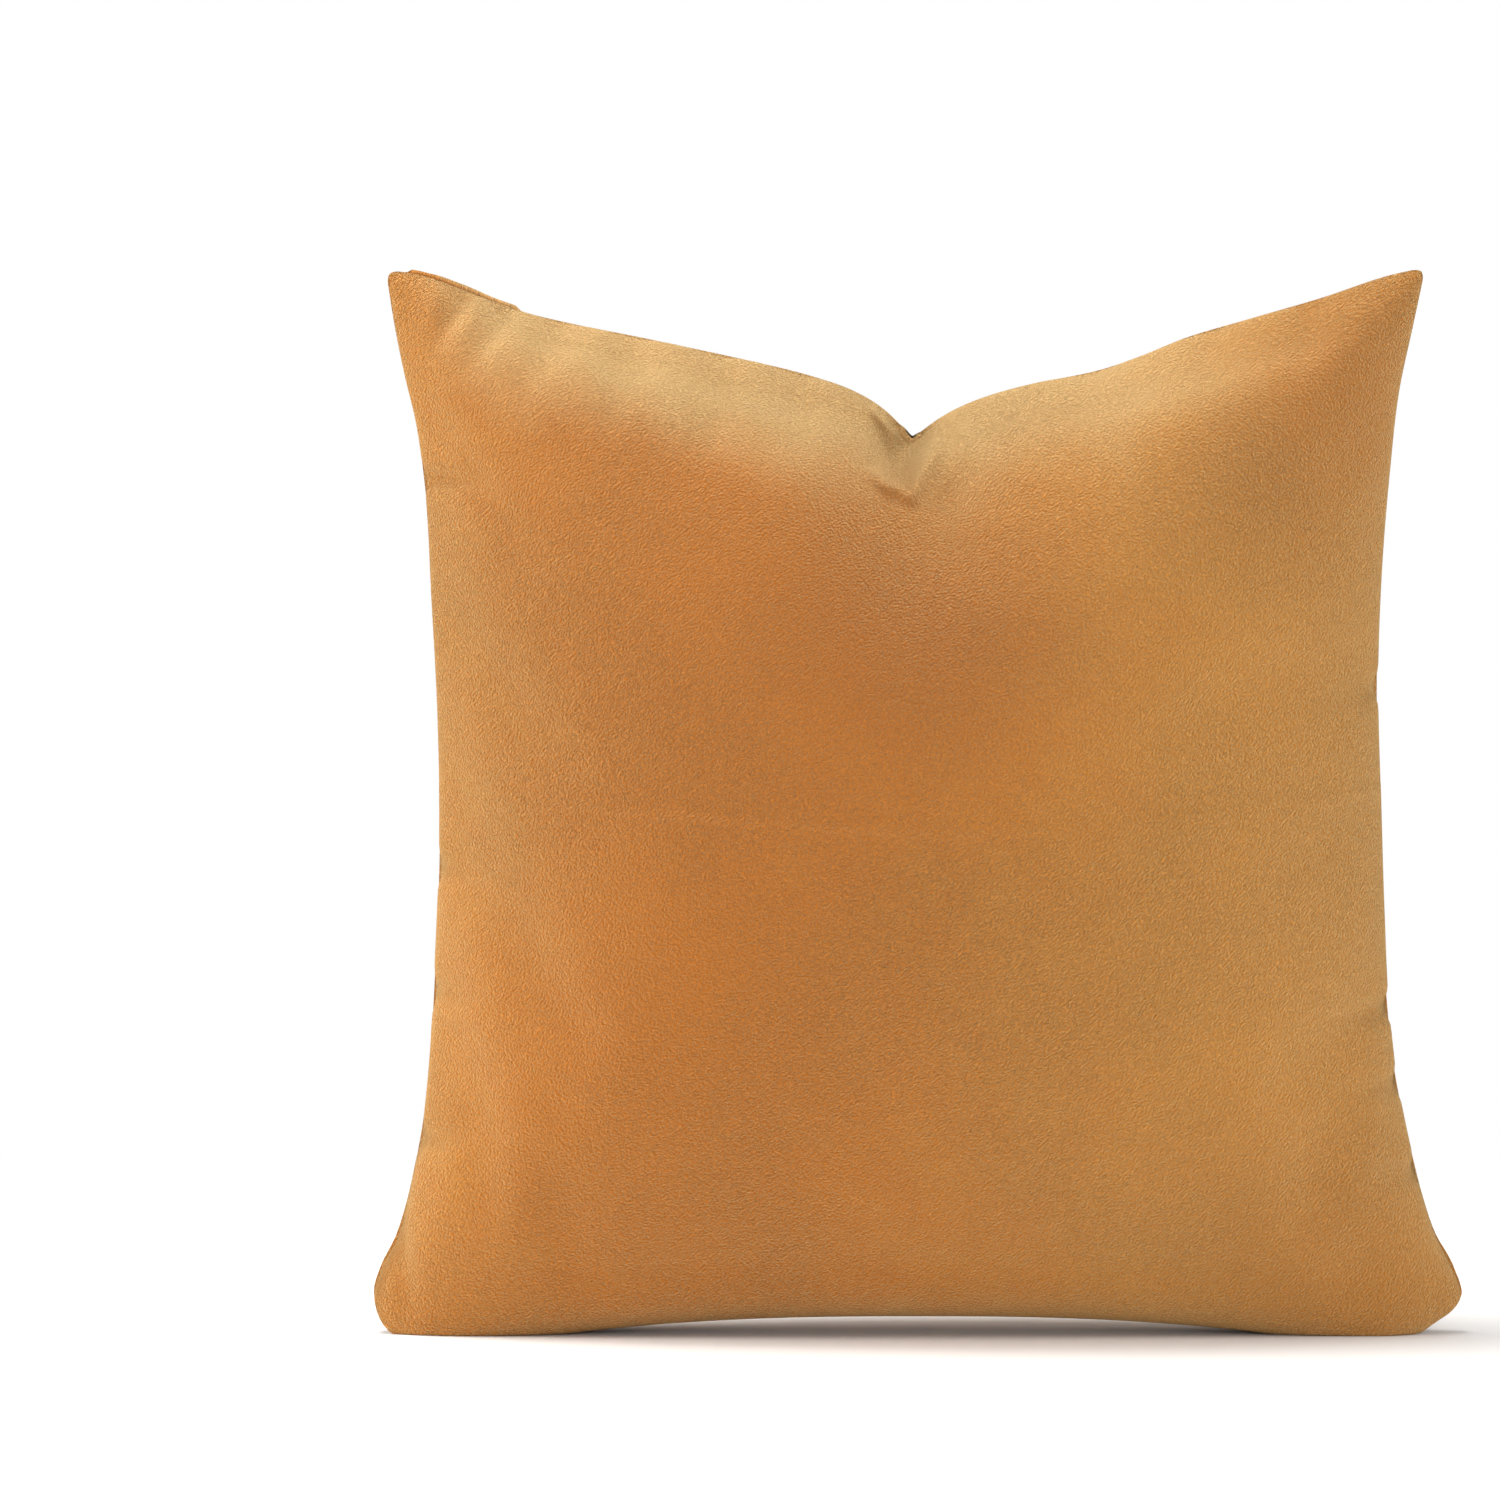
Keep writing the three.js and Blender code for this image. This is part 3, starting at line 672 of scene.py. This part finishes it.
def overlock(name, side_point, half_length):
    """Looper thread that winds round the edge of both sewn allowances."""
    loops = round(2 * half_length / OVERLOCK_PITCH)
    turn = np.linspace(0, loops * 2 * math.pi, loops * 10)
    depth = OVERLOCK_DEPTH + OVERLOCK_REACH * np.cos(turn)
    y = OVERLOCK_HALF * np.sin(turn)
    along = np.linspace(-half_length, half_length, turn.size) / HALF_SIDE
    inset = 1 - depth / HALF_SIDE
    x, z = side_point(along * inset, inset)
    return tube(name, np.stack([x, y, z], -1), OVERLOCK_WIRE)


overlocks = {
    "left": overlock("overlock_thread_left", lambda a, k: patch(-k, a), OVERLOCK_SIDE_HALF),
    "right": overlock("overlock_thread_right", lambda a, k: patch(k, a), OVERLOCK_SIDE_HALF),
    "top": overlock("overlock_thread_top", lambda a, k: patch(a, k), OVERLOCK_TOP_HALF),
}


def zip_coil(name, node, side):
    """A wire helix that fills the CAD's plain coil."""
    low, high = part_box(node)
    low, high = np.array(low) / MM, np.array(high) / MM
    middle, half = (low + high) / 2, (high - low) / 2
    turns = round(2 * half[0] / COIL_PITCH)
    turn = np.linspace(0, turns * 2 * math.pi, turns * 12)
    x = np.linspace(low[0] + COIL_WIRE, high[0] - COIL_WIRE, turn.size)
    y = middle[1] + side * (half[1] - COIL_WIRE) * np.cos(turn)
    z = middle[2] + (half[2] - COIL_WIRE) * np.sin(turn)
    return tube(name, np.stack([x, y, z], -1), COIL_WIRE)


coils = {
    "front": zip_coil("zip_coil_front", "zipper_coil_front", -1),
    "back": zip_coil("zip_coil_back", "zipper_coil_back", 1),
}


# ---------- materials ----------
def linear(r, g, b):
    """A colour given as on a screen, from 0 to 255, in the linear values that nodes take."""
    return tuple(((c / 255 + 0.055) / 1.055) ** 2.4 for c in (r, g, b)) + (1,)


class Surface:
    """A Principled material and short names for the nodes that make its colour and relief."""

    def __init__(self, name, **sockets):
        self.material = bpy.data.materials.new(name)
        self.material.use_nodes = True
        self.tree = self.material.node_tree
        self.shader = self.tree.nodes["Principled BSDF"]
        for socket, value in sockets.items():
            self.shader.inputs[socket.replace("_", " ")].default_value = value

    def node(self, kind, inputs=None, **settings):
        made = self.tree.nodes.new("ShaderNode" + kind)
        for key, value in settings.items():
            setattr(made, key, value)
        for socket, value in (inputs or {}).items():
            if isinstance(value, bpy.types.NodeSocket):
                self.tree.links.new(value, made.inputs[socket])
            else:
                made.inputs[socket].default_value = value
        return made

    def place(self, own_map="cloth"):
        """The place on one of the piece's own maps, or in its own space without one, in metres."""
        if own_map:
            return self.node("UVMap", uv_map=own_map).outputs["UV"]
        return self.node("TexCoord").outputs["Object"]

    def turned(self, vector, degrees=0, scale=(1, 1, 1)):
        inputs = {"Vector": vector, "Rotation": (0, 0, math.radians(degrees))}
        spun = self.node("Mapping", inputs, vector_type="TEXTURE").outputs["Vector"]
        return self.node("Mapping", {"Vector": spun, "Scale": scale}).outputs["Vector"]

    def noise(self, vector, scale, detail=2, roughness=0.5, distortion=0):
        inputs = {"Vector": vector, "Scale": scale, "Detail": detail}
        inputs.update({"Roughness": roughness, "Distortion": distortion})
        return self.node("TexNoise", inputs).outputs["Fac"]

    def span(self, value, low, high, new_low=0, new_high=1):
        """Carries low to high over to new_low to new_high, with soft ends."""
        inputs = {0: value, 1: low, 2: high, 3: new_low, 4: new_high}
        return self.node("MapRange", inputs, interpolation_type="SMOOTHSTEP").outputs[0]

    def mix(self, factor, first, second):
        made = self.node("Mix", data_type="RGBA", blend_type="MIX", clamp_result=True)
        for socket, value in ((0, factor), (6, first), (7, second)):
            if isinstance(value, bpy.types.NodeSocket):
                self.tree.links.new(value, made.inputs[socket])
            else:
                made.inputs[socket].default_value = value
        return made.outputs[2]

    def math(self, operation, first, second=0.0):
        return self.node("Math", {0: first, 1: second}, operation=operation).outputs[0]

    def relief(self, height, distance, before=None):
        """Bumps of up to distance, in metres, on top of those of the normal before."""
        inputs = {"Height": height, "Distance": distance, "Strength": 1}
        if before is not None:
            inputs["Normal"] = before
        return self.node("Bump", inputs).outputs["Normal"]

    def finish(self, colour, normal, roughness=None):
        self.tree.links.new(colour, self.shader.inputs["Base Color"])
        self.tree.links.new(normal, self.shader.inputs["Normal"])
        if roughness is not None:
            self.tree.links.new(roughness, self.shader.inputs["Roughness"])
        return self.material


# Painted shade spots that darken the cover, the largest below the notch: place on the square, reach
# and share.
PAINTED_SHADE_SPOTS = [((0, 0.1), 0.11, 0.8), ((0.2, 0.17), 0.11, 0.6), ((0.17, -0.2), 0.1, 0.3)]


def velvet():
    """Short pile with the shader's sheen, whose colour also carries painted sheen, a painted
    highlight and painted shade.
    """
    s = Surface(
        "velvet", Roughness=0.85, Specular_IOR_Level=0.2, Sheen_Weight=0.9,
        Sheen_Roughness=0.42, Sheen_Tint=linear(255, 231, 170),
    )
    uv = s.place()
    broad = s.noise(s.turned(uv, 20), 9, 3, 0.55, 0.4)
    patches = s.noise(s.turned(uv, -35, (1, 1.6, 1)), 38, 3, 0.6, 0.6)
    square = s.place("square")
    place = s.node("SeparateXYZ", {"Vector": square})
    x, y = place.outputs["X"], place.outputs["Y"]
    drift = s.math("MULTIPLY", s.math("SUBTRACT", broad, 0.5), 0.09)
    streaks = s.math("MULTIPLY", s.math("SUBTRACT", patches, 0.5), 0.12)
    # Painted sheen: the colour turns paler and yellower away from x = -0.09 on the square, broken up
    # by random tone streaks.
    off_middle = s.math("ABSOLUTE", s.math("ADD", x, 0.09))
    painted_sheen_and_tone = s.math("ADD", off_middle, s.math("ADD", drift, streaks))
    colour = s.mix(s.span(painted_sheen_and_tone, 0.01, 0.24), linear(191, 110, 29), linear(200, 132, 53))
    # Painted highlight along the top band, between the corners.
    painted_top_highlight = s.span(s.math("ADD", y, drift), 0.15, 0.205, 0, 0.9)
    between = s.math("MULTIPLY", s.span(x, 0.19, 0.08), s.span(x, -0.22, -0.17))
    colour = s.mix(s.math("MULTIPLY", painted_top_highlight, between), colour, linear(212, 166, 106))
    # Each spot mixes painted shade into the colour.
    for middle, reach, share in PAINTED_SHADE_SPOTS:
        away = s.node("VectorMath", {0: square, 1: (*middle, 0)}, operation="DISTANCE")
        painted_shade = s.span(away.outputs["Value"], reach, 0, 0, share)
        colour = s.mix(painted_shade, colour, linear(168, 94, 26))
    # Fine creases and the pile's grain make the relief; the colour gets painted shade in the
    # creases' hollows and random tone from the pile's grain.
    wrinkles = s.noise(s.turned(uv, 42, (1, 1.4, 1)), 820, 2, 0.5, 0.3)
    creased = s.span(wrinkles, 0.28, 0.72)
    pile = s.noise(uv, 1900, 2, 0.6)
    shade = s.math("ADD", s.math("MULTIPLY", creased, 0.7), s.math("MULTIPLY", pile, 0.3))
    colour = s.mix(s.span(shade, 0.2, 0.8, 0.22, 0), colour, linear(120, 62, 24))
    where = s.span(s.noise(s.turned(uv, 10), 7, 2), 0.35, 0.65, 0.65, 1)
    height = s.math("MULTIPLY", creased, where)
    return s.finish(colour, s.relief(pile, 0.00022, before=s.relief(height, 0.0014)))


def woven(name, light, dark, step, directions, own_map="cloth", **sockets):
    """Two crossing sets of ribs; a rib's wave turns by one radian in each step of the cloth."""
    s = Surface(name, **sockets)
    place = s.place(own_map)
    scale = 1 / (20 * step * MM)  # at a scale of 1 the wave turns by 20 radians in a metre
    wave = {"Vector": place, "Scale": scale, "Distortion": 0.15, "Detail": 1}
    first, second = (
        s.node("TexWave", wave, bands_direction=axis).outputs["Fac"] for axis in directions
    )
    height = s.math("MAXIMUM", first, second)
    slubs = s.noise(place, 90, 3)
    colour = s.mix(s.math("MULTIPLY", height, slubs), dark, light)
    return s.finish(colour, s.relief(height, 0.35 * step * MM))


def fibre():
    """White fibre in tangled strands."""
    s = Surface("fibre", Roughness=1, Subsurface_Weight=0.3, Sheen_Weight=0.3)
    place = s.place(None)
    strands = s.noise(s.turned(place, 30, (1, 4, 1)), 260, 5, 0.75, 2.5)
    colour = s.mix(strands, linear(222, 220, 212), linear(252, 251, 247))
    return s.finish(colour, s.relief(strands, 0.0012))


def thread():
    """Tan thread with its ply twisted."""
    s = Surface("thread", Roughness=0.6, Sheen_Weight=0.2)
    wave = {"Vector": s.place(None), "Scale": 900, "Distortion": 1.5}
    twist = s.node("TexWave", wave, bands_direction="DIAGONAL").outputs["Fac"]
    colour = s.mix(twist, linear(150, 98, 52), linear(196, 138, 84))
    return s.finish(colour, s.relief(twist, 0.00006))


def nylon():
    """The coils' dyed wire."""
    s = Surface("nylon", Roughness=0.38, Specular_IOR_Level=0.5, Subsurface_Weight=0.15)
    grain = s.noise(s.place(None), 600, 2)
    colour = s.mix(grain, linear(172, 116, 62), linear(192, 134, 78))
    return s.finish(colour, s.relief(grain, 0.00003), s.span(grain, 0.3, 0.7, 0.32, 0.48))


def zip_metal():
    """Zinc under a baked tan lacquer, rubbed through to the metal in places."""
    s = Surface("zip_metal", Coat_Weight=0.3, Coat_Roughness=0.25)
    place = s.place(None)
    worn = s.span(s.noise(place, 700, 4, 0.65), 0.60, 0.72)
    colour = s.mix(worn, linear(186, 130, 76), linear(178, 174, 166))
    rough = s.span(s.noise(place, 1500, 2), 0.3, 0.7, 0.28, 0.45)
    s.tree.links.new(worn, s.shader.inputs["Metallic"])
    return s.finish(colour, s.relief(s.noise(place, 900, 2), 0.00002), rough)


VELVET = velvet()
CASING = woven(
    "casing", linear(246, 243, 236), linear(214, 208, 196), 0.6, ("X", "Y"),
    Roughness=0.85, Sheen_Weight=0.15,
)
FIBRE, THREAD, NYLON, METAL = fibre(), thread(), nylon(), zip_metal()
TAPE = woven(
    "tape", linear(198, 142, 84), linear(142, 90, 44), 0.8, ("DIAGONAL", "X"), own_map=None,
    Roughness=0.75, Sheen_Weight=0.2,
)


# ---------- what each piece is made of, stands for and rides on ----------
def dress(piece, material, body=None, stands_for=()):
    piece.data.materials.clear()
    piece.data.materials.append(material)
    if body:
        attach(piece, body)
    if stands_for:
        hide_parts(*stands_for)


dress(cover_front, VELVET, "cushion", ["cover_front_panel"])
dress(cover_back, VELVET, "cushion", ["cover_back_panel"])
dress(insert_front, CASING, "cushion", ["insert_front_panel"])
dress(insert_back, CASING, "cushion", ["insert_back_panel"])
dress(fill, FIBRE, "cushion", ["fibre_fill"])
for side, piece in overlocks.items():
    dress(piece, THREAD, "cushion", [f"overlock_{side}"])
for side, piece in coils.items():
    dress(piece, NYLON, "cushion", [f"zipper_coil_{side}"])
    dress(frame["nodes"][f"zipper_tape_{side}"], TAPE)
    dress(frame["nodes"][f"zipper_top_stop_{side}"], METAL)
for node in ("zipper_bottom_stop", "zipper_slider", "zipper_pull"):
    dress(frame["nodes"][node], METAL)
for node, width in (
    ("zipper_slider", 0.18), ("zipper_pull", 0.3), ("zipper_bottom_stop", 0.3),
    ("zipper_top_stop_front", 0.3), ("zipper_top_stop_back", 0.3),
):
    edges = frame["nodes"][node].modifiers.new("edges", "BEVEL")
    edges.width, edges.segments, edges.limit_method = width * MM, 3, "ANGLE"


# ---------- floor, light and camera ----------
def floor():
    """A pale disc just under the pillow that fades to white and isn't seen from below."""
    mesh = bpy.data.meshes.new("floor")
    turn = np.linspace(0, 2 * math.pi, FLOOR_SIDES, endpoint=False)
    x, y = FLOOR_RADIUS * np.cos(turn), FLOOR_RADIUS * np.sin(turn)
    ring = np.stack([x, y, 0 * turn - FLOOR_DROP], -1) * MM
    mesh.from_pydata(ring.tolist(), [], [list(range(FLOOR_SIDES))])
    plane = bpy.data.objects.new("floor", mesh)
    bpy.context.scene.collection.objects.link(plane)
    s = Surface("floor", Roughness=0.9, Specular_IOR_Level=0.1)
    s.shader.inputs["Base Color"].default_value = (0.86, 0.86, 0.855, 1)
    from_middle = s.node("VectorMath", {0: s.place(None)}, operation="LENGTH").outputs["Value"]
    white = s.node("Emission", {"Color": (1, 1, 1, 1), "Strength": 1})
    blend = s.node("MixShader", {0: s.span(from_middle, 0.3, 1.0)})
    s.tree.links.new(s.shader.outputs[0], blend.inputs[1])
    s.tree.links.new(white.outputs[0], blend.inputs[2])
    from_below = s.node("MixShader", {0: s.node("NewGeometry").outputs["Backfacing"]})
    s.tree.links.new(blend.outputs[0], from_below.inputs[1])
    s.tree.links.new(s.node("BsdfTransparent").outputs[0], from_below.inputs[2])
    s.tree.links.new(from_below.outputs[0], s.tree.nodes["Material Output"].inputs["Surface"])
    mesh.materials.append(s.material)


def world():
    """Soft warm light from all round, which the camera sees as plain white."""
    made = bpy.data.worlds.new("studio")
    bpy.context.scene.world = made
    made.use_nodes = True
    tree = made.node_tree
    light = tree.nodes["Background"]
    light.inputs["Color"].default_value = (1, 0.985, 0.965, 1)
    light.inputs["Strength"].default_value = 0.42
    seen = tree.nodes.new("ShaderNodeBackground")
    seen.inputs["Color"].default_value = (1, 1, 1, 1)
    path, mix = tree.nodes.new("ShaderNodeLightPath"), tree.nodes.new("ShaderNodeMixShader")
    tree.links.new(path.outputs["Is Camera Ray"], mix.inputs[0])
    tree.links.new(light.outputs[0], mix.inputs[1])
    tree.links.new(seen.outputs[0], mix.inputs[2])
    tree.links.new(mix.outputs[0], tree.nodes["World Output"].inputs["Surface"])


def softbox(name, place, size, watts, colour=(1, 1, 1)):
    """A square lamp turned to the pillow; its place and its size are in metres."""
    light = bpy.data.lights.new(name, "AREA")
    light.shape, light.size, light.energy, light.color = "SQUARE", size, watts, colour
    lamp = bpy.data.objects.new(name, light)
    bpy.context.scene.collection.objects.link(lamp)
    lamp.location = place
    lamp.rotation_euler = (Vector(LIGHT_AIM) - lamp.location).to_track_quat("-Z", "Y").to_euler()


floor()
world()
softbox("key", (-1.8, -0.1, 0.9), 0.9, 38, (1, 0.98, 0.95))
softbox("top", (-0.35, 0.1, 2.1), 0.9, 38)
softbox("right", (1.8, -0.5, 0.8), 1.0, 15)
softbox("front", (0.3, -2.5, 0.6), 1.1, 20)

camera = bpy.data.cameras.new("camera")
camera.lens, camera.sensor_width = CAMERA_LENS, 36
viewer = bpy.data.objects.new("camera", camera)
bpy.context.scene.collection.objects.link(viewer)
viewer.location = CAMERA_PLACE
viewer.rotation_euler = (math.pi / 2, 0, 0)
bpy.context.scene.camera = viewer
bpy.context.scene.view_settings.view_transform = "Standard"
